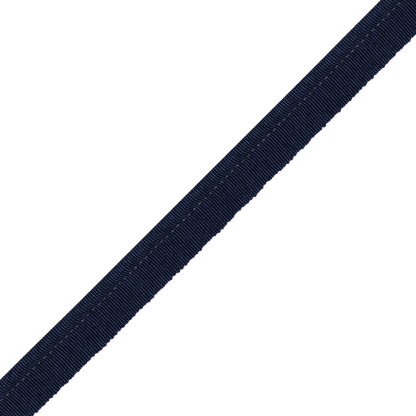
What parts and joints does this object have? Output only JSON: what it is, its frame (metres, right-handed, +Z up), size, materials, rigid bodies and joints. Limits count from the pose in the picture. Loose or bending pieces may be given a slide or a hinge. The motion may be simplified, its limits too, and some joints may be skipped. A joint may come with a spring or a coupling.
{
  "type": "length of piping trim",
  "caption": "Cut length of ribbed ribbon folded round a filler cord and stitched beside it, leaving a flat two-layer flange to sew into a seam.",
  "frame": {"origin": "middle of the base on which the trim rests", "axes": "+X along the trim, +Y towards the corded bead, +Z up"},
  "size_m": [0.2, 0.0164, 0.0047],
  "materials": {
    "grosgrain": "navy ribbed ribbon with a slight sheen",
    "cotton_cord": "matt undyed cotton",
    "sewing_thread": "grey-blue twisted thread"
  },
  "bodies": {
    "root": {"ribbon": "grosgrain", "filler_cord": "cotton_cord"}
  },
  "joints": []
}
